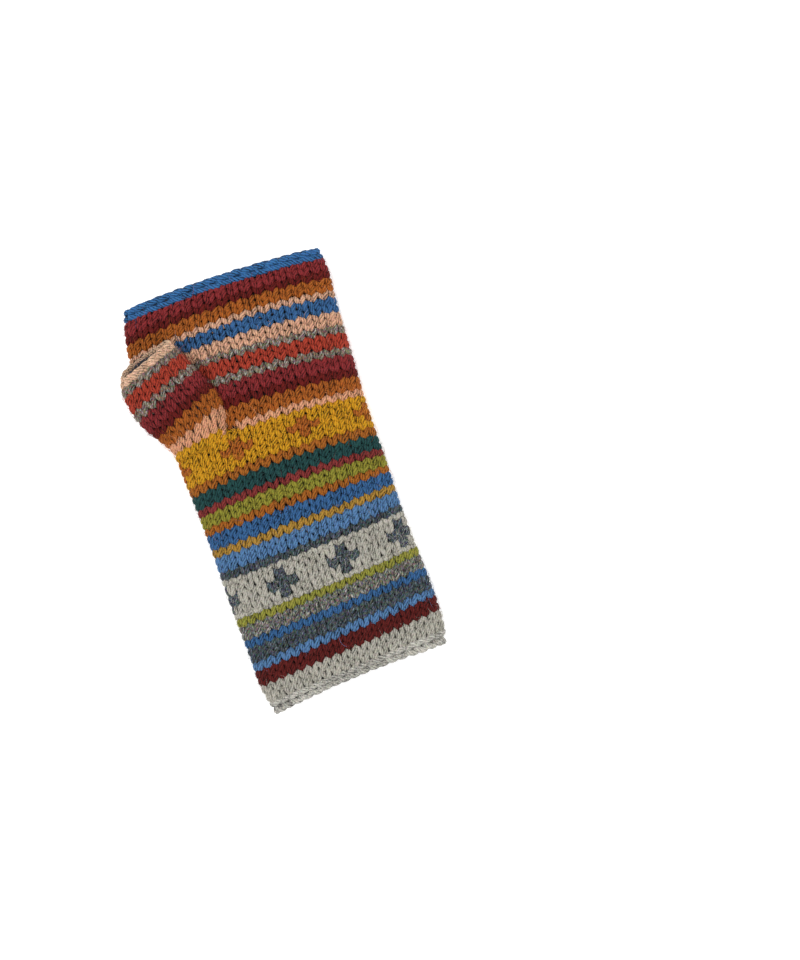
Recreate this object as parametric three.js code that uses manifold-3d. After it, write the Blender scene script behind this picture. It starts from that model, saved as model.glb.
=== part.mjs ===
import * as THREE from 'three';
import { mergeVertices } from 'three/addons/utils/BufferGeometryUtils.js';
import Module from 'manifold-3d';

// A hand-knitted wool wrist warmer with a thumb, lined with fleece, lying flat on its back.
// Millimetres. X runs across the hand, Y from the wrist to the fingers and Z up from the surface.

const wasm = await Module();
wasm.setup();

// Driving dimensions.
const knitWall = 3.2; // one layer of thick knitting on the hand
const thumbKnitWall = 2.8; // the thumb is knitted a little tighter
const liningWall = 1.7; // fleece in the hand
const thumbLiningWall = 1.4; // fleece in the thumb
const clearance = 0.3; // air between two pieces that touch
const liningGap = 0.8; // the soft fleece lies a little looser in the knitting
const thumbLiningGap = 0.6; // and a little closer in the thumb
const length = 218.9; // wrist edge to hand edge, on the centre line
const wristEdgeWidth = 5.2; // the chain along the wrist
const handEdgeWidth = 5.0; // the chain along the knuckles
const thumbLength = 51; // from the thumb's root to its mouth
const thumbEdgeWidth = 5; // the chain round the thumb's mouth
const liningShortAtWrist = 4; // the fleece stops this far inside the wrist edge
const liningShortAtThumb = 3.5; // this far inside the thumb's mouth
const liningShortAtHand = 1.6; // and this far inside the hand edge's upper side
const liningPeep = 2.4; // under the hand edge it comes out this far past the knitting
const archSpan = 46; // a row's arch is measured this far from the centre line
const dentEdge = 14; // the thumb's dent fades out over this width
const edgeRounding = 1.0; // the chains are rounded off by this much at their rims
const bodyPoints = 36; // points round the hand
const thumbPoints = 24; // points round the thumb

// The hand and wrist tube. Each row is a ring of stitches: at is where it crosses the centre line,
// left and right are its sides, height its top, slope its tilt, arch how far its middle bows to the
// fingers, pressed how far the thumb flattens its left part, pressTo where that dent ends, and reach
// how much further the underside goes than the top.
const bodyRows = [
  { at: 0, left: -45.6, right: 48.4, height: 19.4, slope: 0.036, arch: -1, pressed: 0, pressTo: -10, reach: 0 },
  { at: 5, left: -47.6, right: 50.4, height: 20.4, slope: 0.05, arch: -0.5, pressed: 0, pressTo: -10, reach: 0 },
  { at: 16, left: -49.1, right: 51.4, height: 21.2, slope: 0.084, arch: 0, pressed: 0, pressTo: -10, reach: 0 },
  { at: 36, left: -49.4, right: 51, height: 21.6, slope: 0.07, arch: -0.3, pressed: 0, pressTo: -10, reach: 0 },
  { at: 60, left: -50.5, right: 49.4, height: 22, slope: 0.062, arch: -1.1, pressed: 0, pressTo: -10, reach: 0 },
  { at: 85, left: -50.8, right: 48.9, height: 22.4, slope: 0.034, arch: -0.5, pressed: 0, pressTo: -10, reach: 0 },
  { at: 110, left: -51.5, right: 49.2, height: 22.8, slope: 0.008, arch: 2.2, pressed: 0, pressTo: -12, reach: 0 },
  { at: 130, left: -52.8, right: 48.9, height: 23, slope: 0, arch: 2.8, pressed: 0, pressTo: -13, reach: 0 },
  { at: 141, left: -53.8, right: 49.2, height: 23, slope: -0.02, arch: 2.4, pressed: 1.2, pressTo: -14, reach: 0 },
  { at: 152, left: -55.2, right: 49.6, height: 23, slope: -0.04, arch: 2.5, pressed: 5.8, pressTo: -14, reach: 0 },
  { at: 170, left: -57.6, right: 50.1, height: 23, slope: -0.05, arch: 2.6, pressed: 5.8, pressTo: -18, reach: 0 },
  { at: 186, left: -59, right: 50.9, height: 22.6, slope: -0.03, arch: 2.7, pressed: 5, pressTo: -24, reach: 0.3 },
  { at: 198, left: -58.6, right: 51.7, height: 22, slope: -0.01, arch: 2.8, pressed: 2.6, pressTo: -28, reach: 0.8 },
  { at: 209, left: -56.4, right: 52, height: 21, slope: -0.006, arch: 2.8, pressed: 0.6, pressTo: -30, reach: 1.6 },
  { at: 218.9, left: -52.9, right: 50.6, height: 19.8, slope: -0.006, arch: 2.8, pressed: 0, pressTo: -30, reach: 2 },
];

// The thumb tube, which leaves the hand through its upper layer and lies on it. Each row gives its
// two sides seen from above, the height of its underside, its thickness, how much lower its left
// side hangs, and how much further its underside reaches than its top.
const thumbRows = [
  { at: -20, leftX: -49.5, leftY: 122, rightX: -23, rightY: 123, under: 4.6, thick: 13.4, roll: 0, reach: 0 },
  { at: -7, leftX: -52, leftY: 133, rightX: -22.4, rightY: 136, under: 5.4, thick: 15.8, roll: 0, reach: 0 },
  { at: 0, leftX: -53.6, leftY: 138.3, rightX: -21.8, rightY: 144, under: 6.6, thick: 16.6, roll: 0, reach: 0 },
  { at: 9, leftX: -56, leftY: 142.8, rightX: -20.8, rightY: 156.6, under: 9.8, thick: 16.9, roll: 0.3, reach: 0 },
  { at: 16, leftX: -59.4, leftY: 148.2, rightX: -22.8, rightY: 165, under: 12.2, thick: 17, roll: 0.6, reach: 0 },
  { at: 28, leftX: -65.7, leftY: 159.4, rightX: -27.6, rightY: 175.8, under: 15.8, thick: 17, roll: 1, reach: 0 },
  { at: 41, leftX: -68.6, leftY: 173, rightX: -32.4, rightY: 186.6, under: 17.2, thick: 16.8, roll: 1, reach: 1 },
  { at: 46, leftX: -68, leftY: 178, rightX: -34.2, rightY: 190.2, under: 17.4, thick: 16.6, roll: 1, reach: 2.4 },
  { at: 51, leftX: -65.6, leftY: 182.4, rightX: -35.6, rightY: 193.6, under: 17.6, thick: 16, roll: 1, reach: 4.6 },
];

// One row of a table at any place between its rows, each column on a smooth curve.
function rowAt(rows, at) {
  const last = rows.length - 2;
  let i = 0;
  while (i < last && at > rows[i + 1].at) i += 1;
  const [a, b] = [rows[i], rows[i + 1]];
  const span = b.at - a.at;
  const t = (at - a.at) / span;
  const slopeAt = (j, key) => {
    const before = rows[Math.max(0, j - 1)];
    const after = rows[Math.min(rows.length - 1, j + 1)];
    return (after[key] - before[key]) / (after.at - before.at);
  };
  const row = {};
  for (const key of Object.keys(a)) {
    const straight = a[key] + (b[key] - a[key]) * t;
    const bendA = slopeAt(i, key) * span - (b[key] - a[key]);
    const bendB = slopeAt(i + 1, key) * span - (b[key] - a[key]);
    row[key] = straight + t * (1 - t) * ((1 - t) * bendA - t * bendB);
  }
  return row;
}

// A point on the hand's ring: turn 0 is its left side, 0.25 its top, 0.5 its right side and 0.75
// its flat underside. Inset is how far inside the outer surface the point lies.
function bodyPoint(at, turn, inset) {
  const fullness = 0.92;
  const dome = 0.6;
  const flatness = 2;
  const waistShare = 0.45;
  const row = rowAt(bodyRows, at);
  const angle = turn * 2 * Math.PI;
  const across = -Math.cos(angle);
  const up = Math.sin(angle);
  const half = (row.right - row.left) / 2 - inset;
  const x = (row.left + row.right) / 2 + half * Math.sign(across) * Math.abs(across) ** fullness;
  const dent = row.pressed * THREE.MathUtils.smoothstep(row.pressTo - x, 0, dentEdge);
  const waist = row.height * waistShare;
  const top = row.height - dent - inset;
  const bottom = waist + (inset - waist) * Math.min(1, -up * flatness);
  const z = up >= 0 ? waist + (top - waist) * up ** dome : bottom;
  const bow = row.slope * x - row.arch * (x / archSpan) ** 2;
  const further = row.reach * (1 - z / row.height);
  return new THREE.Vector3(x, at + bow + further, z);
}

// A point on the thumb's ring, with its left side at turn 0 and its top at 0.25.
function thumbPoint(at, turn, inset) {
  const fullness = 0.9;
  const dome = 0.66;
  const row = rowAt(thumbRows, at);
  const angle = turn * 2 * Math.PI;
  const across = -Math.sign(Math.cos(angle)) * Math.abs(Math.cos(angle)) ** fullness;
  const up = Math.sign(Math.sin(angle)) * Math.abs(Math.sin(angle)) ** dome;
  const left = new THREE.Vector2(row.leftX, row.leftY);
  const right = new THREE.Vector2(row.rightX, row.rightY);
  const side = right.clone().sub(left).divideScalar(2);
  const half = side.length();
  side.normalize();
  const forward = new THREE.Vector2(-side.y, side.x);
  const centre = left.clone().add(right).divideScalar(2);
  centre.addScaledVector(side, across * (half - inset));
  centre.addScaledVector(forward, (row.reach * (1 - up)) / 2);
  const z = row.under + row.thick / 2 + up * (row.thick / 2 - inset) + row.roll * across;
  return new THREE.Vector3(centre.x, centre.y, z);
}

// A ring of points, run round once.
function ring(point, at, count, inset) {
  return Array.from({ length: count }, (_, i) => point(at, i / count, inset));
}

// Stations from one place to another, close enough together for the table's curves.
function stations(from, to, step) {
  const count = Math.max(1, Math.ceil((to - from) / step));
  return Array.from({ length: count + 1 }, (_, i) => from + ((to - from) * i) / count);
}

// Closed triangles between rings that follow each other; the first and last ring are joined when
// they are to meet, and otherwise each gets a cap.
function skin(rings, meet) {
  const count = rings[0].length;
  const points = rings.flat();
  const triangles = [];
  const links = meet ? rings.length : rings.length - 1;
  for (let r = 0; r < links; r += 1) {
    const here = r * count;
    const next = ((r + 1) % rings.length) * count;
    for (let i = 0; i < count; i += 1) {
      const j = (i + 1) % count;
      triangles.push([here + i, next + j, next + i], [here + i, here + j, next + j]);
    }
  }
  if (!meet) {
    const middle = (ringPoints) => ringPoints.reduce((sum, p) => sum.add(p), new THREE.Vector3()).divideScalar(count);
    const first = points.push(middle(rings[0])) - 1;
    const end = points.push(middle(rings[rings.length - 1])) - 1;
    const start = (rings.length - 1) * count;
    for (let i = 0; i < count; i += 1) {
      const j = (i + 1) % count;
      triangles.push([first, j, i], [end, start + i, start + j]);
    }
  }
  const geometry = new THREE.BufferGeometry().setFromPoints(points);
  geometry.setIndex(triangles.flat());
  return geometry;
}

// A filled tube, used to cut or to join.
function filled(point, places, count, inset) {
  return skin(places.map((at) => ring(point, at, count, inset)), false);
}

// A tube's wall: up the outside and back down the inside. Rims gives how far the outside is drawn
// in at each place.
function tubeWall(point, places, count, outer, inner, rims = () => 0) {
  const outside = places.map((at) => ring(point, at, count, outer + rims(at)));
  const inside = places.map((at) => ring(point, at, count, inner)).reverse();
  return skin([...outside, ...inside], true);
}

// Between three.js geometry and solids that can be cut and joined.
function toSolid(geometry) {
  const merged = mergeVertices(geometry, 1e-5);
  const vertProperties = new Float32Array(merged.attributes.position.array);
  const triVerts = new Uint32Array(merged.index.array);
  return new wasm.Manifold(new wasm.Mesh({ numProp: 3, vertProperties, triVerts }));
}

function toGeometry(solid) {
  const { vertProperties, triVerts } = solid.getMesh();
  const geometry = new THREE.BufferGeometry();
  geometry.setAttribute('position', new THREE.BufferAttribute(vertProperties, 3));
  geometry.setIndex(new THREE.BufferAttribute(triVerts, 1));
  return geometry;
}

// The places along the hand and the thumb where the rings stand.
const wristJoin = wristEdgeWidth;
const handJoin = length - handEdgeWidth;
const thumbJoin = thumbLength - thumbEdgeWidth;
const bodyPlaces = [
  ...stations(wristJoin + clearance / 2, 120, 15),
  ...stations(128, 164, 5),
  ...stations(174, handJoin - clearance / 2, 11),
];
const thumbPlaces = stations(thumbRows[0].at, thumbJoin - clearance / 2, 6);

// The hand's knitting is a tube with a hole for the thumb in its upper layer.
function knitBody() {
  const tube = toSolid(tubeWall(bodyPoint, bodyPlaces, bodyPoints, 0, knitWall));
  const hole = toSolid(filled(thumbPoint, thumbPlaces, thumbPoints, thumbKnitWall));
  return toGeometry(tube.subtract(hole));
}

// The thumb's knitting ends on the hand's surface, which it meets all round the hole.
function thumbKnit() {
  const tube = toSolid(tubeWall(thumbPoint, thumbPlaces, thumbPoints, 0, thumbKnitWall));
  const hand = toSolid(filled(bodyPoint, bodyPlaces, bodyPoints, -clearance));
  const pieces = tube.subtract(hand).decompose();
  return toGeometry(pieces.reduce((a, b) => (a.volume() > b.volume() ? a : b)));
}

// A chain of loops round an open end, with rounded rims.
function chainEdge(point, from, to, count, wall) {
  const rims = (at) => (at === from || at === to ? edgeRounding : 0);
  const middles = [from + edgeRounding, to - edgeRounding];
  return tubeWall(point, [from, ...middles, to], count, 0, wall, rims);
}

// The fleece follows the knitting inside the hand and up the thumb, in one piece.
function fleece() {
  const handOuter = knitWall + liningGap;
  const handInner = handOuter + liningWall;
  const thumbOuter = thumbKnitWall + thumbLiningGap;
  const thumbInner = thumbOuter + thumbLiningWall;
  const peep = (at, turn, inset) => {
    const low = THREE.MathUtils.smoothstep(-Math.sin(turn * 2 * Math.PI), -0.1, 0.5);
    const further = low * (liningPeep + liningShortAtHand) * THREE.MathUtils.smoothstep(at, handJoin, length);
    return bodyPoint(at + further, turn, inset);
  };
  const places = [liningShortAtWrist, ...bodyPlaces, length - liningShortAtHand];
  const open = [liningShortAtWrist - 1, ...places, length];
  const up = [...thumbPlaces, thumbLength - liningShortAtThumb];
  const upOpen = [...up, thumbLength];
  const outside = toSolid(filled(peep, places, bodyPoints, handOuter)).add(
    toSolid(filled(thumbPoint, up, thumbPoints, thumbOuter)),
  );
  const hollow = toSolid(filled(peep, open, bodyPoints, handInner)).add(
    toSolid(filled(thumbPoint, upOpen, thumbPoints, thumbInner)),
  );
  return toGeometry(outside.subtract(hollow));
}

function piece(name, geometry, color) {
  const material = new THREE.MeshStandardMaterial({ color, roughness: 0.95, metalness: 0 });
  const mesh = new THREE.Mesh(geometry, material);
  mesh.name = name;
  return mesh;
}

const warmer = new THREE.Group();
warmer.add(
  piece('knit_body', knitBody(), '#a9782f'),
  piece('thumb_knit', thumbKnit(), '#9c4a26'),
  piece('wrist_edge', chainEdge(bodyPoint, 0, wristJoin - clearance / 2, bodyPoints, knitWall), '#b7b5ac'),
  piece('hand_edge', chainEdge(bodyPoint, handJoin + clearance / 2, length, bodyPoints, knitWall), '#2f62ac'),
  piece('thumb_edge', chainEdge(thumbPoint, thumbJoin + clearance / 2, thumbLength, thumbPoints, thumbKnitWall), '#dda788'),
  piece('lining', fleece(), '#26262a'),
);

// The origin is the middle of the underside.
const box = new THREE.Box3().setFromObject(warmer);
const middle = box.getCenter(new THREE.Vector3());
warmer.position.set(-middle.x, -middle.y, -box.min.z);

export default warmer;
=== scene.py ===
import math

import bpy
import numpy as np
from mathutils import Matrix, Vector
from mathutils.bvhtree import BVHTree


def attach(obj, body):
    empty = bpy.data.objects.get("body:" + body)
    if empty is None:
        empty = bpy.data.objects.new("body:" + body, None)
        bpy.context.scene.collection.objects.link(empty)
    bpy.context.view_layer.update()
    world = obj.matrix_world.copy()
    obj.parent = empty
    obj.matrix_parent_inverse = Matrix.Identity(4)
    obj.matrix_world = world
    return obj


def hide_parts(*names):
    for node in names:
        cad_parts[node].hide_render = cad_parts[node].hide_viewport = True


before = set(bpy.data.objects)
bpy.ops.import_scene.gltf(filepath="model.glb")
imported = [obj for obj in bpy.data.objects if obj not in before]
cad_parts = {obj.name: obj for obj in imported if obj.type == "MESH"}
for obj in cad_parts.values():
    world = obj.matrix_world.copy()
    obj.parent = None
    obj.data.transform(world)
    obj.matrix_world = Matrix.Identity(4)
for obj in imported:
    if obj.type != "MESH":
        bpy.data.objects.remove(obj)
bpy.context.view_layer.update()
bpy.ops.object.select_all(action="DESELECT")

# The camera looks straight down on the warmer, which leans to the left in the picture as it was
# laid. All the object's sizes here are in millimetres and turn into metres when a mesh is made.
MM = 0.001
WRIST_MIDDLE = (8.301, -110.647)  # where the middle of the wrist edge lies in the frame
PIXEL = 0.515  # millimetres of the warmer's upper side that one pixel shows
IMAGE_TALL = 960  # pixels
PICTURE_MIDDLE = (52.8, 89.4)  # the picture's middle, from the middle of the wrist edge
LEAN = math.radians(18.5)
UPPER_SIDE = 21.0  # how high the warmer's upper side lies, on average
LENS = 85.0
SENSOR = 36.0

bpy.ops.object.camera_add()
camera = bpy.context.object
camera.name = "camera_from_above"
camera.data.lens = LENS
camera.data.sensor_width = SENSOR
camera.data.clip_start = 0.01
away = LENS * PIXEL * IMAGE_TALL / SENSOR
camera.location = (
    (WRIST_MIDDLE[0] + PICTURE_MIDDLE[0]) * MM,
    (WRIST_MIDDLE[1] + PICTURE_MIDDLE[1]) * MM,
    (UPPER_SIDE + away) * MM,
)
camera.rotation_euler = (0, 0, -LEAN)
bpy.context.scene.camera = camera
bpy.context.scene.view_settings.view_transform = "Standard"

# The hand and wrist are one knitted tube that lies flat, with a domed top. Each row of the table is
# a ring of stitches: at is where it crosses the middle, left and right are its sides, height its
# top, slope its tilt, arch how far its middle bows to the fingers, pressed how far the thumb
# flattens its left part, press_to where that dent ends, reach how much further its underside goes.
hand_table = np.array(
    [
        # at, left, right, height, slope, arch, pressed, press_to, reach
        (0, -47.2, 48.6, 19.4, 0.072, 2.8, 0, -10, 0),
        (5, -48.8, 50.6, 20.4, 0.075, 0.4, 0, -10, 0),
        (16, -50.6, 51.6, 21.2, 0.084, 0, 0, -10, 0),
        (36, -50.9, 51.2, 21.6, 0.07, -0.3, 0, -10, 0),
        (60, -51.9, 49.8, 22, 0.062, -1.1, 0, -10, 0),
        (85, -52.1, 49.5, 22.4, 0.034, -0.5, 0, -10, 0),
        (110, -52.8, 49.6, 22.8, 0.008, 2.2, 0, -12, 0),
        (130, -54, 49.3, 23, 0, 2.8, 0, -13, 0),
        (141, -54.5, 49.4, 23, -0.02, 2.4, 1.2, -14, 0),
        (152, -55.8, 49.8, 23, -0.04, 2.5, 5.8, -14, 0),
        (170, -58.6, 50.5, 23, -0.05, 2.6, 5.8, -18, 0),
        (186, -60.9, 51, 22.6, -0.03, 2.7, 5, -24, 0.3),
        (198, -61.2, 51.9, 22, -0.01, 2.8, 2.6, -28, 0.8),
        (209, -59.2, 52.6, 21, -0.009, 2.3, 0.6, -30, 1.6),
        (218.9, -55.6, 51, 19.8, -0.013, 1.5, 0, -30, 2),
    ]
)
ARCH_SPAN = 46.0  # an arch is measured at this distance from the middle
DENT_EDGE = 14.0  # the width of the slope at the dent's right side
SIDE_FULL = 0.92  # powers under 1 make the tube fuller at its sides
TOP_FLAT = 0.6  # and flatter on top
WAIST = 0.45  # its widest place lies at this share of its height
NEAR = 0.2  # directions on a surface are taken over this distance along it
NEAR_TURN = 0.002  # and over this part of a turn round it


def row_at(table, at):
    """The table's columns at any places, each on a smooth curve through its rows."""
    places = table[:, 0]
    at = np.asarray(at, float)
    i = np.clip(np.searchsorted(places, at, side="right") - 1, 0, len(places) - 2)
    before = np.maximum(np.arange(len(places)) - 1, 0)
    after = np.minimum(np.arange(len(places)) + 1, len(places) - 1)
    slopes = (table[after] - table[before]) / (places[after] - places[before])[:, None]
    span = (places[i + 1] - places[i])[..., None]
    t = ((at - places[i]) / (places[i + 1] - places[i]))[..., None]
    rise = table[i + 1] - table[i]
    bend_a = slopes[i] * span - rise
    bend_b = slopes[i + 1] * span - rise
    row = table[i] + rise * t + t * (1 - t) * ((1 - t) * bend_a - t * bend_b)
    return np.moveaxis(row, -1, 0)


def signed_power(value, power):
    return np.sign(value) * np.abs(value) ** power


def hand_surface(at, turn):
    """Points on the hand's outer surface: turn 0 is its left side, 0.25 its top."""
    _, left, right, height, slope, arch, pressed, press_to, reach = row_at(hand_table, at)
    across = -np.cos(2 * np.pi * turn)
    up = np.sin(2 * np.pi * turn)
    x = (left + right) / 2 + (right - left) / 2 * signed_power(across, SIDE_FULL)
    ease = np.clip((press_to - x) / DENT_EDGE, 0, 1)
    dent = pressed * ease * ease * (3 - 2 * ease)
    waist = height * WAIST
    over = waist + (height - dent - waist) * np.maximum(up, 0) ** TOP_FLAT
    under = waist * (1 - np.minimum(1, -2 * up))
    z = np.where(up >= 0, over, under)
    y = at + slope * x - arch * (x / ARCH_SPAN) ** 2 + reach * (1 - z / height)
    return np.stack([x + WRIST_MIDDLE[0], y + WRIST_MIDDLE[1], z], -1)


def normals_of(surface, at, turn):
    """The outward direction of a surface at each of its places."""
    along = surface(at + NEAR, turn) - surface(at - NEAR, turn)
    round_it = surface(at, turn + NEAR_TURN) - surface(at, turn - NEAR_TURN)
    out = np.cross(round_it, along)
    return out / np.linalg.norm(out, axis=-1, keepdims=True)


LOOSE_TOP = 0.00076  # the stitches on the upper side widen by this share a millimetre
LOOSEST_TOP = 0.1
RING_POINTS = 721  # a ring is measured in steps of half a degree


def round_lengths(surface, at):
    """How the turn grows with the stitches round a ring, and the ring's whole length."""
    turns = np.linspace(0, 1, RING_POINTS)
    points = surface(np.full(RING_POINTS, float(at)), turns)
    steps = np.linalg.norm(np.diff(points, axis=0), axis=1)
    loose = min(max(LOOSE_TOP * at, 0.0), LOOSEST_TOP)
    stitches = steps * (1 - loose * np.sin(2 * np.pi * (turns[1:] + turns[:-1]) / 2))
    shares = np.concatenate([[0], np.cumsum(stitches)]) / stitches.sum()
    return shares, turns, steps.sum()


def lay(surface, at, share, along, depth):
    """Points laid on a surface: share is the part of the way round, depth how far under it."""
    shares, turns, _ = round_lengths(surface, at)
    turn = np.interp(np.mod(share, 1), shares, turns)
    places = at + along
    return surface(places, turn) - normals_of(surface, places, turn) * depth[..., None]


# The stitches are stocking stitch in thick two-coloured or plain wool. Each row is one yarn that
# runs round the tube in loops: its legs lie in front as a V, and the loops' heads and feet lie
# behind the legs of the rows above and below. One yarn is one closed tube, swept along its path.
YARN = 1.42  # half the width of a leg
STITCHES_ROUND = 42
SAMPLES = 14  # points along the yarn in one stitch
SIDES = 8
STITCH_WIDE = 5.6
LEG_LEAN = 1.1  # how far a leg swings to the side, in a stitch of that width
STITCH_TALL = 0.76  # how far heads and feet reach from their row's middle, as a share of a row
BACK = 1.5  # the way from the legs in front to the loops behind
NOD = 0.14  # how much further the heads lie behind than the feet, so that each V shows its point
CLOSE = 0.07  # how far a stitch's two legs lie nearer each other than the next stitch's
PLIES = 5
PLY_TURN = 0.62  # radians that the plies turn round the yarn in a millimetre
# The yarn is squeezed where it lies behind: its thickness and its breadth there, as shares of YARN,
# and what each gains in front.
BACK_THICK = 0.5
FRONT_THICKER = 0.42
BACK_BROAD = 0.84
FRONT_BROADER = 0.2
# Hand knitting is uneven: how much the stitches' swing, height and yarn differ, as shares, and how
# far they lie out of line along the tube and across it, in millimetres.
UNEVEN_SWING = 0.13
UNEVEN_TALL = 0.07
UNEVEN_YARN = 0.05
OUT_ALONG = 0.24
OUT_ACROSS = 0.2
random = np.random.default_rng(7)


def stitch_path(surface, at, pitch, count, first, stitches, shift, yarn=YARN):
    """The yarn's middle line through some stitches of one row, with its half sizes and tint."""
    closed = stitches == count
    steps = stitches * SAMPLES + (0 if closed else 1)
    t = np.arange(steps) / SAMPLES
    angle = 2 * np.pi * t
    _, _, girth = round_lengths(surface, at)
    wide = girth / count
    number = first + t
    places = np.arange(count * 2 + 2) - 0.5
    wobble = random.normal(0, 1, (5, count))
    swing, taller, ahead, plump, aside = [
        np.interp(np.mod(number, count), places, np.tile(w, 3)[: len(places)]) for w in wobble
    ]
    lean = LEG_LEAN * np.sin(2 * angle) * wide / STITCH_WIDE * (1 + UNEVEN_SWING * swing)
    lean = lean + OUT_ACROSS * aside
    lean += CLOSE * np.sin(angle)
    tall = STITCH_TALL * pitch * (1 + UNEVEN_TALL * taller)
    share = shift + number / count + lean / girth
    along = -tall * np.cos(angle) + OUT_ALONG * ahead
    front = np.sin(angle) ** 2
    thick = yarn * (BACK_THICK + FRONT_THICKER * front) * (1 + UNEVEN_YARN * plump)
    broad = yarn * (BACK_BROAD + FRONT_BROADER * front) * (1 + UNEVEN_YARN * plump)
    depth = yarn + BACK * np.cos(angle) ** 2 - NOD * np.cos(angle)
    tint = np.repeat(random.normal(0, 1, stitches * 2), SAMPLES // 2)
    tint = np.append(tint, tint[:1]) if not closed else tint
    return lay(surface, at, share, along, depth), thick, broad, tint, closed


def sweep(points, thick, broad, tint, closed, outward):
    """A tube round a path, thick outwards and broad to its sides: its points, faces, the faces'
    UVs and each point's tint. U runs in millimetres along the yarn, and V once round it from its
    hidden back."""
    n = len(points)
    if closed:
        ahead = np.roll(points, -1, axis=0)
        behind = np.roll(points, 1, axis=0)
    else:
        ahead = np.concatenate([points[1:], points[-1:]])
        behind = np.concatenate([points[:1], points[:-1]])
    tangent = ahead - behind
    tangent /= np.linalg.norm(tangent, axis=1, keepdims=True)
    front = outward - tangent * (outward * tangent).sum(1, keepdims=True)
    front /= np.linalg.norm(front, axis=1, keepdims=True)
    side = np.cross(tangent, front)
    angle = np.pi + 2 * np.pi * np.arange(SIDES) / SIDES
    ring = np.cos(angle)[:, None] * front[:, None] * thick[:, None, None]
    ring = ring + np.sin(angle)[:, None] * side[:, None] * broad[:, None, None]
    vertices = (points[:, None] + ring).reshape(-1, 3)
    steps = np.linalg.norm(ahead - points, axis=1)
    length = np.concatenate([[0], np.cumsum(steps)])
    rings = np.arange(n if closed else n - 1)
    i = np.repeat(rings, SIDES)
    j = np.tile(np.arange(SIDES), len(rings))
    k = (i + 1) % n
    m = (j + 1) % SIDES
    faces = np.stack([i * SIDES + j, i * SIDES + m, k * SIDES + m, k * SIDES + j], 1)
    u0, u1 = length[i], length[i + 1]
    v0, v1 = j / SIDES, (j + 1) / SIDES
    uvs = np.stack([u0, v0, u0, v1, u1, v1, u1, v0], 1).reshape(-1, 2)
    faces = faces.tolist()
    if not closed:
        faces.append(list(range(SIDES))[::-1])
        faces.append(list(range((n - 1) * SIDES, n * SIDES)))
        uvs = np.concatenate([uvs, np.zeros((2 * SIDES, 2))])
    return vertices, faces, uvs, np.repeat(tint, SIDES)


def yarn_piece(name, tubes, material, node):
    """One piece from many swept tubes."""
    vertices = []
    faces = []
    uvs = []
    tints = []
    start = 0
    for points, sides, uv, tint in tubes:
        vertices.append(points)
        faces.extend([[start + v for v in face] for face in sides])
        uvs.append(uv)
        tints.append(tint)
        start += len(points)
    mesh = bpy.data.meshes.new(name)
    mesh.from_pydata((np.concatenate(vertices) * MM).tolist(), [], faces)
    layer = mesh.uv_layers.new(name="along_yarn")
    layer.data.foreach_set("uv", np.concatenate(uvs).astype(np.float32).ravel())
    tint_layer = mesh.attributes.new("tint", "FLOAT", "POINT")
    tint_layer.data.foreach_set("value", np.concatenate(tints).astype(np.float32))
    mesh.shade_smooth()
    mesh.materials.append(material)
    piece = bpy.data.objects.new(name, mesh)
    bpy.context.scene.collection.objects.link(piece)
    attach(piece, "root")
    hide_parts(node)


wool_bases = {}  # each wool's own colour, for its loose fibres
# Each pattern's number of patches in a metre, drawn as coarse as they need to be to show.
DYE_PATCHES = 340.0  # the dye takes unevenly over 3 mm
HUE_PATCHES = 900.0  # differently dyed fibres show over 1 mm
SPECKS = 1300.0  # single kinks and shadows are under 1 mm
# What lightens a spot, each by this much over its whole range.
FIBRE_LIGHT = 1.3
DYE_LIGHT = 1.2
SPECK_LIGHT = 1.5
TINT_LIGHT = 0.1
MEAN_LIGHT = -1.445  # this and the next two keep the average the same in every wool
MEAN_GROOVE_SHADE = 0.57
MEAN_OPEN = 0.6
DARKEST = 0.03  # the darkest and the lightest spot, as shares of the wool's colours
LIGHTEST = 0.73


def colour_of(text, light=1.0):
    """An sRGB hex colour as linear values, made lighter or darker."""
    values = [int(text[i : i + 2], 16) / 255 for i in (1, 3, 5)]
    linear = [v / 12.92 if v <= 0.04045 else ((v + 0.055) / 1.055) ** 2.4 for v in values]
    return (*[min(1.0, v * light) for v in linear], 1.0)


def add_node(tree, kind, values=None, links=None, **settings):
    """A node with its settings, its sockets' values and the links that come into it."""
    node = tree.nodes.new(kind)
    for key, value in settings.items():
        setattr(node, key, value)
    for key, value in (values or {}).items():
        node.inputs[key].default_value = value
    for key, output in (links or {}).items():
        tree.links.new(output, node.inputs[key])
    return node


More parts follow.
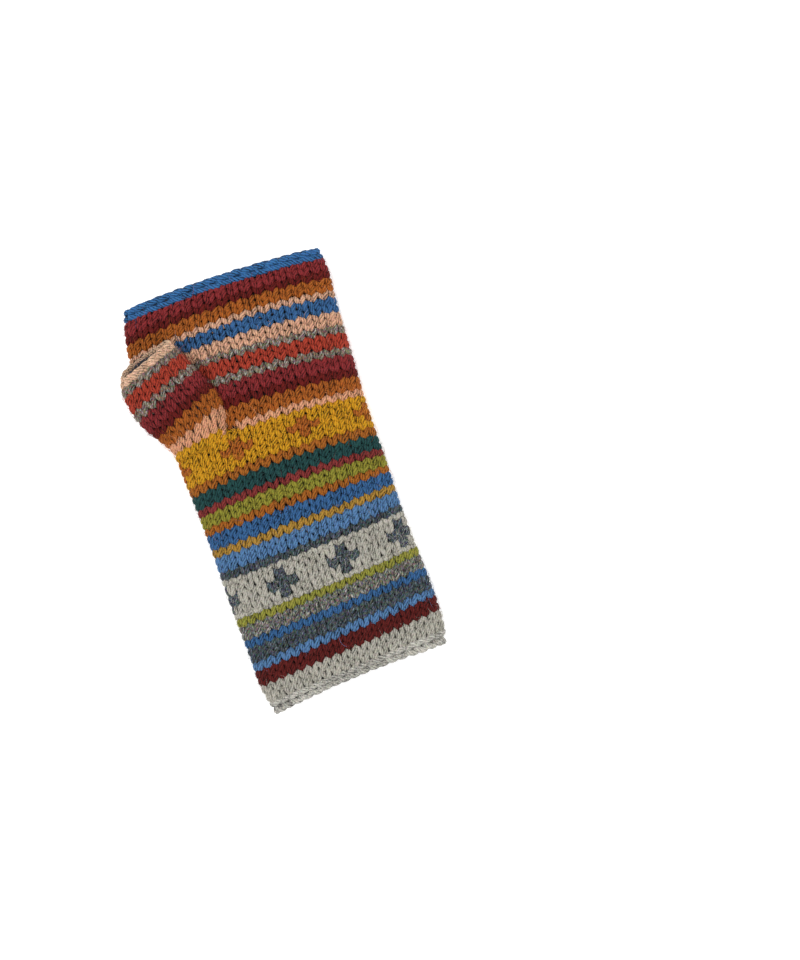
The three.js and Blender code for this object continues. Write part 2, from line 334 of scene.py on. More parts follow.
def wool(name, base, second=None, fleck=None, fleck_share=0.0, heather=0.1, groove_shade=0.85, shaded=0.6):
    """Hand-spun sheep's wool: dull, with a soft sheen from its fibres. Its plies show as slanted
    crests with painted shade in their grooves and painted highlights on top, and its fibres as fine
    streaks along them; a marl has flecks, heather is how much its fibres differ in hue, and shaded
    how dark the painted shade on a leg's hidden side is."""
    material = bpy.data.materials.new(name)
    wool_bases[material.name] = base
    material.use_nodes = True
    tree = material.node_tree
    shader = tree.nodes["Principled BSDF"]
    uv = add_node(tree, "ShaderNodeUVMap", uv_map="along_yarn")
    parts = add_node(tree, "ShaderNodeSeparateXYZ", links={0: uv.outputs[0]})
    turned = add_node(
        tree,
        "ShaderNodeMath",
        {1: -PLY_TURN / (2 * math.pi)},
        {0: parts.outputs["X"], 2: parts.outputs["Y"]},
        operation="MULTIPLY_ADD",
    )
    # The plies: as many half waves round the yarn as it has plies, turning with its length. They give
    # the bump, and also painted shade in the grooves and painted highlights on the crests.
    half_turns = {1: PLIES * math.pi}
    phase = add_node(tree, "ShaderNodeMath", half_turns, {0: turned.outputs[0]}, operation="MULTIPLY")
    wave = add_node(tree, "ShaderNodeMath", links={0: phase.outputs[0]}, operation="SINE")
    ridge = add_node(tree, "ShaderNodeMath", links={0: wave.outputs[0]}, operation="ABSOLUTE")
    round_ridge = add_node(tree, "ShaderNodeMath", {1: 1.4}, {0: ridge.outputs[0]}, operation="POWER")
    # The fibres: a noise in millimetres on the yarn's skin, drawn out along the plies.
    girth = {1: 2 * math.pi * YARN}
    across = add_node(tree, "ShaderNodeMath", girth, {0: turned.outputs[0]}, operation="MULTIPLY")
    skin = {0: parts.outputs["X"], 1: across.outputs[0]}
    fibre_place = add_node(tree, "ShaderNodeCombineXYZ", links=skin)
    stretch = add_node(
        tree,
        "ShaderNodeVectorMath",
        {1: (0.5, 1.4, 1.0)},
        {0: fibre_place.outputs[0]},
        operation="MULTIPLY",
    )
    fibres = add_node(
        tree,
        "ShaderNodeTexNoise",
        {"Scale": 1.0, "Detail": 4.0, "Roughness": 0.65},
        {"Vector": stretch.outputs[0]},
    )
    place = add_node(tree, "ShaderNodeTexCoord")
    here = {"Vector": place.outputs["Object"]}
    dye = add_node(
        tree, "ShaderNodeTexNoise", {"Scale": DYE_PATCHES, "Detail": 3.0, "Roughness": 0.6}, here
    )
    specks = add_node(tree, "ShaderNodeTexNoise", {"Scale": SPECKS, "Detail": 1.0}, here)
    tint = add_node(tree, "ShaderNodeAttribute", attribute_name="tint")
    # The sides of a leg are in the shade of their neighbours: V is 0.5 in front and 0 or 1 behind.
    off_front = add_node(tree, "ShaderNodeMath", {1: -0.5}, {0: parts.outputs["Y"]}, operation="ADD")
    aside = add_node(tree, "ShaderNodeMath", links={0: off_front.outputs[0]}, operation="ABSOLUTE")
    open_side = add_node(
        tree,
        "ShaderNodeMapRange",
        {1: 0.08, 2: 0.27, 3: 1.0, 4: 0.0},
        {0: aside.outputs[0]},
        interpolation_type="SMOOTHSTEP",
    )
    # How bright each spot is: painted shade on its sides, painted shade and highlights from the ply's
    # crests, then the fibres, the dye, the specks of kinks and painted shadow, and the stitch's tint.
    light = add_node(
        tree,
        "ShaderNodeMath",
        {1: shaded, 2: MEAN_LIGHT - MEAN_GROOVE_SHADE * groove_shade - MEAN_OPEN * shaded},
        {0: open_side.outputs[0]},
        operation="MULTIPLY_ADD",
    )
    for amount, source in (
        (groove_shade, round_ridge.outputs[0]),
        (FIBRE_LIGHT, fibres.outputs["Fac"]),
        (DYE_LIGHT, dye.outputs["Fac"]),
        (SPECK_LIGHT, specks.outputs["Fac"]),
        (TINT_LIGHT, tint.outputs["Fac"]),
    ):
        added = {0: source, 2: light.outputs[0]}
        light = add_node(tree, "ShaderNodeMath", {1: amount}, added, operation="MULTIPLY_ADD")
    shade = add_node(
        tree,
        "ShaderNodeMix",
        {6: colour_of(second or base, DARKEST), 7: colour_of(base, LIGHTEST)},
        {0: light.outputs[0]},
        data_type="RGBA",
    )
    hues = add_node(tree, "ShaderNodeTexNoise", {"Scale": HUE_PATCHES, "Detail": 2.0}, here)
    strong_hues = add_node(
        tree,
        "ShaderNodeVectorMath",
        {1: (2.6, 2.6, 2.6), 2: (-0.8, -0.8, -0.8)},
        {0: hues.outputs["Color"]},
        operation="MULTIPLY_ADD",
    )
    blended = add_node(
        tree,
        "ShaderNodeMix",
        {0: heather},
        {6: shade.outputs[2], 7: strong_hues.outputs[0]},
        data_type="RGBA",
        blend_type="OVERLAY",
    )
    colour = blended.outputs[2]
    # Flecks show where the fibres' noise is highest.
    if fleck:
        edge = {1: 0.62 - fleck_share, 2: 0.72 - fleck_share}
        flecks = add_node(tree, "ShaderNodeMapRange", edge, {0: fibres.outputs["Fac"]})
        over = {0: flecks.outputs[0], 6: colour}
        mixed = add_node(tree, "ShaderNodeMix", {7: colour_of(fleck)}, over, data_type="RGBA")
        colour = mixed.outputs[2]
    tree.links.new(colour, shader.inputs["Base Color"])
    shader.inputs["Roughness"].default_value = 0.92
    shader.inputs["Specular IOR Level"].default_value = 0.18
    shader.inputs["Sheen Weight"].default_value = 0.25
    shader.inputs["Sheen Roughness"].default_value = 0.6
    shader.inputs["Sheen Tint"].default_value = colour_of(base, 1.6)
    both = {0: fibres.outputs["Fac"], 2: round_ridge.outputs[0]}
    relief = add_node(tree, "ShaderNodeMath", {1: 1.0}, both, operation="MULTIPLY_ADD")
    grooves = {"Strength": 0.9, "Distance": 0.55 * MM}
    bump = add_node(tree, "ShaderNodeBump", grooves, {"Height": relief.outputs[0]})
    tree.links.new(bump.outputs[0], shader.inputs["Normal"])
    return material


light_grey_wool = wool(
    "light_grey_wool", "#C6C2B5", fleck="#8E8B82", fleck_share=0.05, heather=0.06, groove_shade=0.55
)
maroon_wool = wool("maroon_wool", "#661E1B", "#5A2C18")
light_blue_wool = wool("light_blue_wool", "#5D88B8")
slate_wool = wool("slate_heather_wool", "#4A5359", "#2E2A30", "#7F8990", 0.06, 0.55)
blue_wool = wool("blue_wool", "#3D6CA0", "#30507E")
warm_grey_wool = wool("warm_grey_marl_wool", "#72726C", "#4A4440", "#B5B1A8", 0.08, 0.55)
lime_wool = wool("lime_wool", "#9C9A41")
mustard_wool = wool("mustard_wool", "#BC903C")
orange_wool = wool("burnt_orange_wool", "#B26824")
olive_wool = wool("olive_wool", "#9A9435")
raspberry_wool = wool("raspberry_wool", "#8F3735", "#7A3A20")
teal_wool = wool("teal_wool", "#244F4E", "#22405A")
gold_wool = wool("gold_wool", "#DFA01F", "#B8722A")
pink_wool = wool("pink_wool", "#F4AD85")
brown_wool = wool("brown_orange_wool", "#B66424")
dark_maroon_wool = wool("dark_maroon_wool", "#6E1A16")
crimson_wool = wool("crimson_wool", "#922F32", "#7A3020")
grey_wool = wool("grey_marl_wool", "#867466", "#5A4034", "#B9BAB2", 0.08, 0.55)
rust_wool = wool("rust_wool", "#B94330")
peach_wool = wool("peach_wool", "#ECB494")

# The hand's stripes, from the wrist to the fingers, as they were knitted: each is some rows of one
# wool between two places on the middle line. They stand for the hand's solid.
hand_stripes = [
    # name, rows, from, to, wool
    ("light_grey_1", 2, 5.2, 15.0, light_grey_wool),
    ("maroon", 2, 15.0, 22.7, maroon_wool),
    ("light_blue_1", 1, 22.7, 27.0, light_blue_wool),
    ("slate_1", 2, 27.0, 34.5, slate_wool),
    ("blue_1", 1, 34.5, 38.6, blue_wool),
    ("warm_grey", 2, 38.6, 45.8, warm_grey_wool),
    ("lime", 1, 45.8, 50.0, lime_wool),
    ("light_grey_2", 5, 50.0, 70.0, light_grey_wool),
    ("slate_2", 1, 70.0, 74.2, slate_wool),
    ("light_blue_2", 2, 74.2, 82.3, light_blue_wool),
    ("mustard", 1, 82.3, 86.5, mustard_wool),
    ("blue_2", 2, 86.5, 94.8, blue_wool),
    ("orange_1", 1, 94.8, 99.2, orange_wool),
    ("olive", 2, 99.2, 106.1, olive_wool),
    ("raspberry", 1, 106.1, 110.2, raspberry_wool),
    ("teal", 2, 110.2, 118.2, teal_wool),
    ("orange_2", 1, 118.2, 123.0, orange_wool),
    ("gold", 5, 123.0, 140.6, gold_wool),
    ("pink", 1, 140.6, 144.4, pink_wool),
    ("brown_1", 2, 144.4, 152.4, brown_wool),
    ("dark_maroon_1", 1, 152.4, 157.0, dark_maroon_wool),
    ("crimson_1", 2, 157.0, 164.8, crimson_wool),
    ("grey_1", 1, 164.8, 168.9, grey_wool),
    ("rust", 2, 168.9, 176.6, rust_wool),
    ("grey_2", 1, 176.6, 180.3, grey_wool),
    ("peach_1", 2, 180.3, 187.0, peach_wool),
    ("blue_3", 2, 187.0, 194.2, blue_wool),
    ("peach_2", 1, 194.2, 197.4, peach_wool),
    ("brown_2", 2, 197.4, 203.9, brown_wool),
    ("dark_maroon_2", 1, 203.9, 207.5, dark_maroon_wool),
    ("crimson_2", 2, 207.5, 213.9, crimson_wool),
]
# The little crosses, one every six stitches: how many stitches of the second wool lie side by side
# in each row of their band, the rows' shares of the band's height, the second wool, and the name of
# the piece that its stitches make.
crosses = {
    "light_grey_2": ((0, 1, 3, 1, 0), (0.09, 0.25, 0.27, 0.26, 0.13), slate_wool, "slate_crosses"),
    "gold": ((0, 1, 3, 1, 0), (0.2, 0.2, 0.2, 0.2, 0.2), brown_wool, "brown_crosses"),
}
CROSS_YARN = 1.56  # the second wool's stitches stand out plumper
CROSS_EVERY = 6
FIRST_CROSS = 5  # this stitch of the row is a cross's middle
FIRST_CROSS_X = -21.4  # and lies here
CROSS_AT = 60.0  # on this ring


def share_over(surface, at, x):
    """The part of the way round at which the upper side passes a place across."""
    shares, turns, _ = round_lengths(surface, at)
    upper = turns <= 0.5
    xs = surface(np.full(upper.sum(), float(at)), turns[upper])[:, 0] - WRIST_MIDDLE[0]
    return np.interp(x, xs, shares[upper])


HAND_SHIFT = share_over(hand_surface, CROSS_AT, FIRST_CROSS_X) - (FIRST_CROSS + 0.5) / STITCHES_ROUND


def stitches_run(surface, at, pitch, count, shift, first, stitches, yarn=YARN):
    """Some neighbouring stitches of one row, as a tube."""
    laid = stitch_path(surface, at, pitch, count, first, stitches, shift, yarn)
    path, thick, broad, tint, closed = laid
    shares, turns, _ = round_lengths(surface, at)
    steps = len(path)
    share = shift + (first + np.arange(steps) / SAMPLES) / count
    turn = np.interp(np.mod(share, 1), shares, turns)
    outward = normals_of(surface, np.full(steps, at), turn)
    return sweep(path, thick, broad, tint, closed, outward)


def middles_of(surface, at, count, shift):
    """The middle of each stitch of a row, on the surface."""
    shares, turns, _ = round_lengths(surface, at)
    turn = np.interp(np.mod(shift + (np.arange(count) + 0.5) / count, 1), shares, turns)
    return surface(np.full(count, float(at)), turn)


def runs_of(wanted):
    """The neighbouring stitches among those wanted, as first and number, round the ring."""
    if all(wanted):
        return [(0, len(wanted))]
    n = len(wanted)
    starts = [i for i in range(n) if wanted[i] and not wanted[i - 1]]
    runs = []
    for i in starts:
        k = 1
        while wanted[(i + k) % n]:
            k += 1
        runs.append((i, k))
    return runs


# The thumb's tube leaves the hand through a hole in its upper layer. Its table gives its two sides
# seen from above, the height of its underside, its thickness, how much lower its left side hangs,
# and how much further its underside reaches than its top, most on the left.
thumb_table = np.array(
    [
        # at, left x, left y, right x, right y, under, thick, roll, reach
        (-20, -49.5, 122, -23, 123, 4.6, 13.4, 0, 0),
        (-7, -52, 133, -22.4, 136, 5.4, 15.8, 0, 0),
        (0, -53.6, 138.3, -21.8, 144, 6.6, 16.6, 0, 0),
        (9, -56, 142.8, -20.8, 156.6, 9.8, 16.9, 0.3, 0),
        (16, -59.4, 148.2, -22.8, 165, 12.2, 17, 0.6, 0),
        (28, -65.7, 159.4, -27.6, 175.8, 15.8, 17, 1, 0),
        (41, -68.6, 173, -32.4, 186.6, 17.2, 16.8, 1, 1),
        (46, -68, 178, -34.2, 190.2, 17.4, 16.6, 1, 2.4),
        (51, -65.6, 182.4, -35.6, 193.6, 17.6, 16, 1, 4.6),
    ]
)
THUMB_SIDE_FULL = 0.9
THUMB_TOP_FLAT = 0.66
LEFT_REACH = 0.3  # the underside's reach grows by this share to the left and shrinks to the right


def thumb_surface(at, turn):
    """Points on the thumb's outer surface: turn 0 is its left side, 0.25 its top."""
    _, left_x, left_y, right_x, right_y, under, thick, roll, reach = row_at(thumb_table, at)
    across = -signed_power(np.cos(2 * np.pi * turn), THUMB_SIDE_FULL)
    up = signed_power(np.sin(2 * np.pi * turn), THUMB_TOP_FLAT)
    half_x = (right_x - left_x) / 2
    half_y = (right_y - left_y) / 2
    half = np.hypot(half_x, half_y)
    further = reach * (1 - up) / 2 * (1 - LEFT_REACH * across)
    x = (left_x + right_x) / 2 + half_x * across - half_y / half * further
    y = (left_y + right_y) / 2 + half_y * across + half_x / half * further
    z = under + thick / 2 + up * thick / 2 + roll * across
    return np.stack([x + WRIST_MIDDLE[0], y + WRIST_MIDDLE[1], z], -1)


TREE_RINGS = 60
TREE_SIDES = 72


def tube_tree(surface, low, high):
    """A surface as something that can be asked how deep a point lies inside it."""
    places = np.linspace(low, high, TREE_RINGS)
    turns = np.arange(TREE_SIDES) / TREE_SIDES
    points = surface(np.repeat(places, TREE_SIDES), np.tile(turns, TREE_RINGS))
    faces = []
    for i in range(TREE_RINGS - 1):
        ring = i * TREE_SIDES
        for j in range(TREE_SIDES):
            k = (j + 1) % TREE_SIDES
            faces.append((ring + j, ring + k, ring + TREE_SIDES + k, ring + TREE_SIDES + j))
    return BVHTree.FromPolygons([Vector(p) for p in points], faces)


def depth_inside(tree, point):
    """How far inside a tube a point lies, less than nothing outside it."""
    place, normal, _, distance = tree.find_nearest(Vector(point))
    return distance if (Vector(point) - place).dot(normal) < 0 else -distance


hand_tree = tube_tree(hand_surface, 5.0, 214.0)
thumb_tree = tube_tree(thumb_surface, -6.0, 50.0)
HOLE_FROM = 141.0  # only the hand's rows from here
HOLE_TO = 176.0  # to here come near the thumb
IN_THE_WAY = 1.6  # a stitch whose middle is deeper inside the other tube than this isn't made
CROTCH_ROW = 142.5  # a stitch is left out of this row beside the thumb: the small hole shows dark
CROTCH_X = -22.2
UPPER_FROM = 10.0  # what lies higher than this is on the upper side

for name, rows, low, high, yarn_wool in hand_stripes:
    even = ((0,) * rows, (1 / rows,) * rows, None, None)
    chart, heights, second_wool, second_name = crosses.get(name, even)
    plain = []
    contrast = []
    for r in range(rows):
        pitch = (high - low) * heights[r]
        at = low + (high - low) * (sum(heights[:r]) + heights[r] / 2)
        row = (hand_surface, at, pitch, STITCHES_ROUND, HAND_SHIFT)
        there = [True] * STITCHES_ROUND
        if HOLE_FROM < at < HOLE_TO:
            middles = middles_of(hand_surface, at, STITCHES_ROUND, HAND_SHIFT)
            there = [depth_inside(thumb_tree, m) < IN_THE_WAY for m in middles]
            if abs(at - CROTCH_ROW) < 0.5:
                off_crotch = np.abs(middles[:, 0] - WRIST_MIDDLE[0] - CROTCH_X)
                off_crotch[middles[:, 2] < UPPER_FROM] = np.inf
                there[int(np.argmin(off_crotch))] = False
        off = [(k - FIRST_CROSS) % CROSS_EVERY for k in range(STITCHES_ROUND)]
        in_cross = [chart[r] > 0 and min(o, CROSS_EVERY - o) <= chart[r] // 2 for o in off]
        first_wool = [t and not c for t, c in zip(there, in_cross)]
        plain += [stitches_run(*row, *run) for run in runs_of(first_wool)]
        if any(in_cross):
            contrast += [stitches_run(*row, *run, CROSS_YARN) for run in runs_of(in_cross)]
    yarn_piece("stripe_" + name, plain, yarn_wool, "knit_body")
    if contrast:
        yarn_piece(second_name, contrast, second_wool, "knit_body")

# The thumb's stripes are knitted on round its hole, in the same wools and stitches; its pink row is
# stretched long where it leaves the crotch of the hand. They stand for the thumb's solid.
thumb_stripes = [
    # name, rows, from, to, wool
    ("root", 1, -4.6, 0.0, gold_wool),
    ("pink", 1, 0.0, 8.0, pink_wool),
    ("brown", 2, 8.0, 16.0, brown_wool),
    ("dark_maroon", 1, 16.0, 20.0, dark_maroon_wool),
    ("crimson", 2, 20.0, 28.0, crimson_wool),
    ("grey_1", 1, 28.0, 33.0, grey_wool),
    ("rust", 2, 33.0, 41.0, rust_wool),
    ("grey_2", 1, 41.0, 46.0, grey_wool),
]
THUMB_ROUND = 16
THUMB_SHIFT = 0.01
ROOT_IN_THE_WAY = 3.2  # the root's stitches are picked up from deeper inside the hand

for name, rows, low, high, yarn_wool in thumb_stripes:
    pitch = (high - low) / rows
    tubes = []
    for r in range(rows):
        at = low + pitch * (r + 0.5)
        middles = middles_of(thumb_surface, at, THUMB_ROUND, THUMB_SHIFT)
        allowed = IN_THE_WAY if low >= 0 else ROOT_IN_THE_WAY
        there = [depth_inside(hand_tree, m) < allowed for m in middles]
        row = (thumb_surface, at, pitch, THUMB_ROUND, THUMB_SHIFT)
        tubes += [stitches_run(*row, *run) for run in runs_of(there)]
    yarn_piece("thumb_" + name, tubes, yarn_wool, "thumb_knit")

# Each open end is bound off with a chain that lies along the rim: each loop is drawn out through
# the one before, so that its two legs lie in front as a V, and its head behind the next loop's.
CHAIN_SAMPLES = 18
LOOP_LONG = 0.72  # half a loop's length, as a share of the way from loop to loop
LOOP_POINT = 0.5  # how much narrower a loop is in front than behind
LOOP_BACK = 0.45  # how far its ends lie behind its legs, in half widths of the yarn
LOOP_THICK = 0.6  # its thickness and breadth behind, as shares of the yarn's, and their gain in front
LOOP_THICKER = 0.36
LOOP_BROAD = 0.95
LOOP_BROADER = 0.25
# How much the loops differ in length and place, in width, and in depth in millimetres.
UNEVEN_LONG = 0.05
UNEVEN_WIDE = 0.06
UNEVEN_DEEP = 0.08
# The chains are the same wools as the rows, painted lighter to make up for the shade in their bunched
# loops: lit copies of the light grey, blue and peach wools, with less painted shade on their hidden
# sides.
grey_edge_wool_painted_light = wool(
    "light_grey_edge_wool",
    "#DFDCD0",
    fleck="#9A968C",
    fleck_share=0.05,
    heather=0.06,
    groove_shade=0.4,
    shaded=0.1,
)
blue_edge_wool_painted_light = wool("blue_edge_wool_painted_light", "#3C75B0", "#355F96", shaded=0.4)
peach_edge_wool_painted_light = wool("peach_edge_wool_painted_light", "#FFCDAC", groove_shade=0.4, shaded=0.15)


def chain_piece(name, surface, low, high, links, half, material, node):
    """A ring of chain loops between two places at an open end."""
    middle = (low + high) / 2
    shares, turns, girth = round_lengths(surface, middle)
    pitch = girth / links
    widest = (high - low) / 2 - half
    tubes = []
    for link in range(links):
        longer, deeper, onward, dyed, wider = random.normal(0, 1, 5)
        t = 2 * np.pi * np.arange(CHAIN_SAMPLES) / CHAIN_SAMPLES
        ahead = -LOOP_LONG * pitch * (1 + UNEVEN_LONG * longer) * np.cos(t)
        across = widest * np.sin(t) * (1.0 - LOOP_POINT * np.cos(t)) * (1 + UNEVEN_WIDE * wider)
        depth = half * (1 + LOOP_BACK * (1 + np.cos(2 * t))) + UNEVEN_DEEP * deeper
        share = (link + 0.5 + UNEVEN_LONG * onward) / links + ahead / girth
        path = lay(surface, middle, share, across, depth)
        turn = np.interp(np.mod(share, 1), shares, turns)
        outward = normals_of(surface, np.full(CHAIN_SAMPLES, middle), turn)
        thick = half * (LOOP_THICK + LOOP_THICKER * np.sin(t) ** 2)
        broad = half * (LOOP_BROAD + LOOP_BROADER * np.sin(t) ** 2)
        tint = np.full(CHAIN_SAMPLES, dyed)
        tubes.append(sweep(path, thick, broad, tint, True, outward))
    yarn_piece(name, tubes, material, node)


for name, surface, low, high, links, half, yarn_wool, slot, node in (
    # name, tube, from, to, loops, half the yarn's width, wool, the record's finish, the solid
    ("wrist_chain", hand_surface, -0.1, 5.6, 40, 1.34, grey_edge_wool_painted_light, "light_grey_wool", "wrist_edge"),
    ("hand_chain", hand_surface, 213.3, 219.2, 40, 1.38, blue_edge_wool_painted_light, "blue_wool", "hand_edge"),
    ("thumb_chain", thumb_surface, 45.7, 51.2, 16, 1.34, peach_edge_wool_painted_light, "peach_wool", "thumb_edge"),
):
    chain_piece(name, surface, low, high, links, half, yarn_wool, node)

# A fleece lining lies loose inside the hand and the thumb, in one piece; its edge comes out a
# little past the knitting at the fingers. It is brushed polyester pile: dull and uneven, with a pale
# sheen where its tufts catch the light.
TUFTS = 420.0  # in a metre: tufts of the pile are 2 to 3 mm across
fleece_material = bpy.data.materials.new("charcoal_fleece")
fleece_material.use_nodes = True
tree = fleece_material.node_tree
shader = tree.nodes["Principled BSDF"]
place = add_node(tree, "ShaderNodeTexCoord")
here = {"Vector": place.outputs["Object"]}
tufts = add_node(tree, "ShaderNodeTexNoise", {"Scale": TUFTS, "Detail": 4.0}, here)
shades = {6: colour_of("#141416"), 7: colour_of("#3A3A3F")}
nap = add_node(tree, "ShaderNodeMix", shades, {0: tufts.outputs["Fac"]}, data_type="RGBA")
tree.links.new(nap.outputs[2], shader.inputs["Base Color"])
lift = {"Strength": 0.8, "Distance": 0.6 * MM}
pile = add_node(tree, "ShaderNodeBump", lift, {"Height": tufts.outputs["Fac"]})
tree.links.new(pile.outputs[0], shader.inputs["Normal"])
shader.inputs["Roughness"].default_value = 0.95
shader.inputs["Specular IOR Level"].default_value = 0.1
shader.inputs["Sheen Weight"].default_value = 0.35
shader.inputs["Sheen Roughness"].default_value = 0.7
shader.inputs["Sheen Tint"].default_value = colour_of("#6A6A70")

FLEECE_GRAIN = 0.9 * MM
FLEECE_FACES = 60000
MERGE = 0.01 * MM
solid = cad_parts["lining"]
bpy.ops.object.select_all(action="DESELECT")
mesh = bpy.data.meshes.new("fleece_lining")
mesh.from_pydata([v.co[:] for v in solid.data.vertices], [], [p.vertices[:] for p in solid.data.polygons])
fleece = bpy.data.objects.new("fleece_lining", mesh)
bpy.context.scene.collection.objects.link(fleece)
bpy.context.view_layer.objects.active = fleece
fleece.select_set(True)
bpy.ops.object.mode_set(mode="EDIT")
bpy.ops.mesh.select_all(action="SELECT")
bpy.ops.mesh.remove_doubles(threshold=MERGE)
bpy.ops.object.mode_set(mode="OBJECT")
remesh = fleece.modifiers.new("pile_remesh", "REMESH")
remesh.mode = "VOXEL"
remesh.voxel_size = FLEECE_GRAIN
bpy.ops.object.modifier_apply(modifier=remesh.name)
thin = fleece.modifiers.new("fewer_faces", "DECIMATE")
thin.ratio = FLEECE_FACES / max(FLEECE_FACES, len(fleece.data.polygons) * 2)
bpy.ops.object.modifier_apply(modifier=thin.name)
# The fleece's edge at the fingers waves: it only shows past the knitting here and there.
EDGE_FROM = 214.0
EDGE_LONG = 3.0
EDGE_BACK = 0.36  # the share of its length by which the edge draws back
LONG_WAVE = 9.0
SHORT_WAVE = 3.7
for v in fleece.data.vertices:
    past = v.co.y / MM - WRIST_MIDDLE[1] - EDGE_FROM
    if past > 0:
        x = v.co.x / MM
        back = EDGE_BACK + 0.14 * math.sin(x / LONG_WAVE) + 0.1 * math.sin(x / SHORT_WAVE + 1.0)
        v.co.y -= MM * min(past, EDGE_LONG) * back
# In the thumb it comes a little nearer to the mouth, as a soft lining does when it is pulled on,
# and most on the left of the underside, where it shows in the slot between the rims.
MOUTH_AT = 51.0
MOUTH_DEEP = 9.0  # what lies no further inside than this comes nearer
MOUTH_EASE = 4.0
MOUTH_SIDES = (-4.0, 36.0)  # the mouth's sides, measured from its left corner
THUMB_FROM = 15.0  # the thumb's lining lies higher than this
THUMB_MIDDLE = 25.5  # and its underside lower than this
SLOT_FROM = 1.0  # where the slot begins, from the left corner
SLOT_LONG = 21.0
TOP_NEARER = 1.5
UNDERSIDE_LESS = 0.7
SLOT_MORE = 2.1


def clipped(value):
    return min(1.0, max(0.0, value))


mouth_left = thumb_surface(np.array([MOUTH_AT]), np.array([0.0]))[0]
mouth_right = thumb_surface(np.array([MOUTH_AT]), np.array([0.5]))[0]
mouth_side = (mouth_right - mouth_left) / np.linalg.norm((mouth_right - mouth_left)[:2])
mouth_way = np.array([-mouth_side[1], mouth_side[0], 0.0])
for v in fleece.data.vertices:
    point = np.array(v.co) / MM - mouth_left
    ahead = point @ mouth_way
    aside = point @ mouth_side
    if ahead > -MOUTH_DEEP and MOUTH_SIDES[0] < aside < MOUTH_SIDES[1] and v.co.z > THUMB_FROM * MM:
        nearer = clipped((ahead + MOUTH_DEEP) / MOUTH_EASE)
        low = clipped((THUMB_MIDDLE - v.co.z / MM) / MOUTH_EASE)
        more = SLOT_MORE * low * math.sin(math.pi * clipped((aside - SLOT_FROM) / SLOT_LONG))
        v.co += Vector(mouth_way) * ((TOP_NEARER - UNDERSIDE_LESS * low + more) * nearer * MM)
fleece.data.shade_smooth()
fleece.data.materials.append(fleece_material)
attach(fleece, "root")
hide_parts("lining")

# Loose fibres stand out of the wool all over, curled and hardly lifted, in each stripe's own colour.
# They are drawn thicker than real ones, about 0.1 mm, so that they show.
HAIR_HALF = 0.05
HAIR_TIP = 0.35  # the tip's width, as a share of the root's
HAIR_STEPS = 4
HAIR_LONG = (2.0, 5.2)
HAIR_CURL = 0.45  # how much a fibre turns at each step, in radians
HAIR_LIFT = (0.08, 0.42)  # how steeply it stands out; it rises first and then bends back down
HAIR_RISE = 1.6
HAIR_DROOP = 0.9  # its rise lessens by this at each step
HAIR_SUNK = (0.1, 0.5)  # how far its root lies in the wool
HAIR_LOWEST = 0.15  # no fibre goes into the floor
HAIR_SHADES = (0.75, 1.35)
GUARD_HAIRS = 0.08  # this share of them are guard hairs: long, pale, calm and less sunk
GUARD_CALM = 0.4
GUARD_LONGER = 1.9
GUARD_SUNK = 0.2
GUARD_PALER = 1.35
GUARD_WHITE = 0.025
FUZZ_DARKER = 0.8  # the wool's grooves shade its loose fibres
fuzz_colours = {}


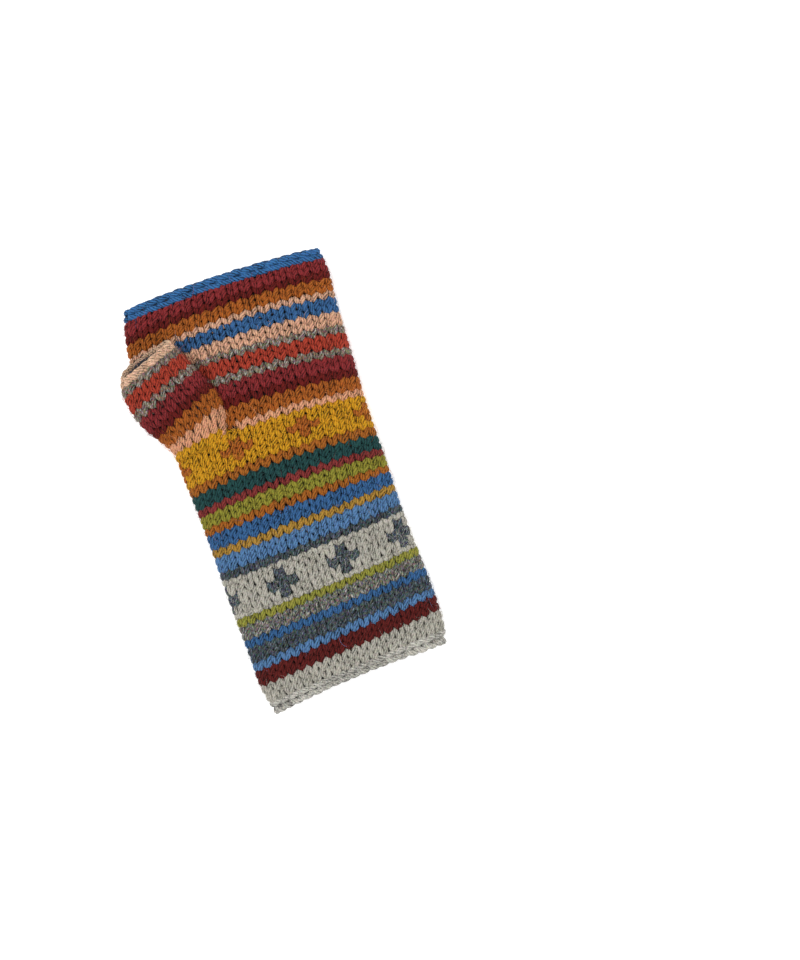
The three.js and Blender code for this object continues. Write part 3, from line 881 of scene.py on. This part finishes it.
def hairs(surface, stripes, number, low, high, keep):
    """Points, faces and colours of many fine curled fibres over a surface."""
    at = random.uniform(low, high, number)
    turn = random.uniform(0, 1, number)
    base = surface(at, turn)
    there = np.array([keep(p) for p in base])
    at, turn, base = at[there], turn[there], base[there]
    number = len(at)
    out = normals_of(surface, at, turn)
    along = surface(at + NEAR, turn) - surface(at - NEAR, turn)
    along /= np.linalg.norm(along, axis=1, keepdims=True)
    across = np.cross(along, out)
    heading = random.uniform(0, 2 * np.pi, number)
    curl = random.normal(0, HAIR_CURL, number)
    guard = random.uniform(0, 1, number) < GUARD_HAIRS
    curl = np.where(guard, GUARD_CALM, 1.0) * curl
    length = random.uniform(*HAIR_LONG, number) * np.where(guard, GUARD_LONGER, 1.0)
    lift = random.uniform(*HAIR_LIFT, number)
    sunk = random.uniform(*HAIR_SUNK, number) * np.where(guard, GUARD_SUNK, 1.0)
    point = base - out * sunk[:, None]
    points = [point]
    for step in range(HAIR_STEPS):
        way = along * np.cos(heading)[:, None] + across * np.sin(heading)[:, None]
        rise = lift * (HAIR_RISE - HAIR_DROOP * step)
        way = way + out * rise[:, None]
        way /= np.linalg.norm(way, axis=1, keepdims=True)
        point = point + way * (length / HAIR_STEPS)[:, None]
        points.append(point)
        heading = heading + curl
    path = np.stack(points, 1)
    path[..., 2] = np.maximum(path[..., 2], HAIR_LOWEST)
    tangent = np.gradient(path, axis=1)
    tangent /= np.linalg.norm(tangent, axis=2, keepdims=True)
    side = np.cross(tangent, out[:, None])
    side /= np.linalg.norm(side, axis=2, keepdims=True)
    up = np.cross(side, tangent)
    thin = HAIR_HALF * np.linspace(1.0, HAIR_TIP, HAIR_STEPS + 1)[None, :, None]
    rims = []
    for k in range(3):
        angle = 2 * np.pi * k / 3
        rims.append(path + (side * math.cos(angle) + up * math.sin(angle)) * thin)
    vertices = np.stack(rims, 2).reshape(-1, 3)
    quads = []
    for i in range(HAIR_STEPS):
        for k in range(3):
            m = (k + 1) % 3
            quads.append((i * 3 + k, i * 3 + m, i * 3 + 3 + m, i * 3 + 3 + k))
    last = HAIR_STEPS * 3
    per_hair = (HAIR_STEPS + 1) * 3
    starts = (np.arange(number) * per_hair)[:, None, None]
    sides = (np.array(quads)[None] + starts).reshape(-1, 4)
    ends = (np.array([[2, 1, 0], [last, last + 1, last + 2]])[None] + starts).reshape(-1, 3)
    bounds = np.array([end for _, _, _, end, _ in stripes])
    shades = np.array([fuzz_colours[yarn_wool.name] for _, _, _, _, yarn_wool in stripes])
    which = np.minimum(np.searchsorted(bounds, at), len(stripes) - 1)
    colours = shades[which] * random.uniform(*HAIR_SHADES, number)[:, None]
    colours = np.where(guard[:, None], colours * GUARD_PALER + GUARD_WHITE, colours)
    colours = np.concatenate([np.clip(colours, 0, 1), np.ones((number, 1))], 1)
    return vertices, sides.tolist() + ends.tolist(), np.repeat(colours, per_hair, axis=0)


def fuzz_piece(name, parts):
    """One piece from the points, faces and colours of many fibres."""
    vertices, faces, colours = parts
    mesh = bpy.data.meshes.new(name)
    mesh.from_pydata((vertices * MM).tolist(), [], faces)
    layer = mesh.color_attributes.new("fibre_colour", "FLOAT_COLOR", "POINT")
    layer.data.foreach_set("color", colours.astype(np.float32).ravel())
    mesh.shade_smooth()
    mesh.materials.append(fibre_material)
    piece = bpy.data.objects.new(name, mesh)
    bpy.context.scene.collection.objects.link(piece)
    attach(piece, "root")


# A single wool fibre is a scaly hair: it shines a little more than the yarn does.
fibre_material = bpy.data.materials.new("loose_wool_fibre")
fibre_material.use_nodes = True
tree = fibre_material.node_tree
shader = tree.nodes["Principled BSDF"]
fibre_colour = add_node(tree, "ShaderNodeAttribute", attribute_name="fibre_colour")
tree.links.new(fibre_colour.outputs["Color"], shader.inputs["Base Color"])
shader.inputs["Roughness"].default_value = 0.7
shader.inputs["Specular IOR Level"].default_value = 0.3

hand_fuzz_stripes = [("wrist_chain", 1, 0.0, 5.2, light_grey_wool), *hand_stripes]
hand_fuzz_stripes.append(("hand_chain", 1, 213.9, 219.2, blue_wool))
thumb_fuzz_stripes = [*thumb_stripes, ("thumb_chain", 1, 46.0, 51.0, peach_wool)]
for _, _, _, _, yarn_wool in hand_fuzz_stripes + thumb_fuzz_stripes:
    fuzz_colours[yarn_wool.name] = colour_of(wool_bases[yarn_wool.name], FUZZ_DARKER)[:3]
HAND_HAIRS = 7600
THUMB_HAIRS = 1500
OUTSIDE = 0.2  # a fibre rooted deeper in the other tube than this isn't made


def off_thumb(point):
    return depth_inside(thumb_tree, point) < OUTSIDE


def off_hand(point):
    return depth_inside(hand_tree, point) < OUTSIDE


hand_hairs = hairs(hand_surface, hand_fuzz_stripes, HAND_HAIRS, 1.0, 217.5, off_thumb)
fuzz_piece("hand_fuzz", hand_hairs)
thumb_hairs = hairs(thumb_surface, thumb_fuzz_stripes, THUMB_HAIRS, 1.0, 50.5, off_hand)
fuzz_piece("thumb_fuzz", thumb_hairs)

# A plain white light table, lit a little from below, so that hardly any shadow shows on it, and a
# soft studio: one large lamp high on the left, a weaker one on the right and a pale surround.
bpy.ops.mesh.primitive_plane_add(size=6, location=(0, 0, 0))
floor = bpy.context.object
floor.name = "white_floor"
floor_white = bpy.data.materials.new("white_paper")
floor_white.use_nodes = True
shader = floor_white.node_tree.nodes["Principled BSDF"]
shader.inputs["Base Color"].default_value = colour_of("#FFFFFF")
shader.inputs["Roughness"].default_value = 0.9
shader.inputs["Emission Color"].default_value = colour_of("#FFFFFF")
shader.inputs["Emission Strength"].default_value = 0.25
floor.data.materials.append(floor_white)

world = bpy.context.scene.world or bpy.data.worlds.new("studio")
bpy.context.scene.world = world
world.use_nodes = True
world.node_tree.nodes["Background"].inputs["Color"].default_value = colour_of("#FFFFFF")
world.node_tree.nodes["Background"].inputs["Strength"].default_value = 0.95


def soft_lamp(name, place, size, power):
    """A square soft box that faces the warmer."""
    bpy.ops.object.light_add(type="AREA", location=place)
    lamp = bpy.context.object
    lamp.name = name
    lamp.data.size = size
    lamp.data.energy = power
    lamp.rotation_euler = Vector(place).to_track_quat("Z", "Y").to_euler()


soft_lamp("main_softbox", (-0.4, 0.5, 1.6), 1.3, 15.0)
soft_lamp("fill_softbox", (0.9, -0.6, 1.2), 1.2, 5.0)
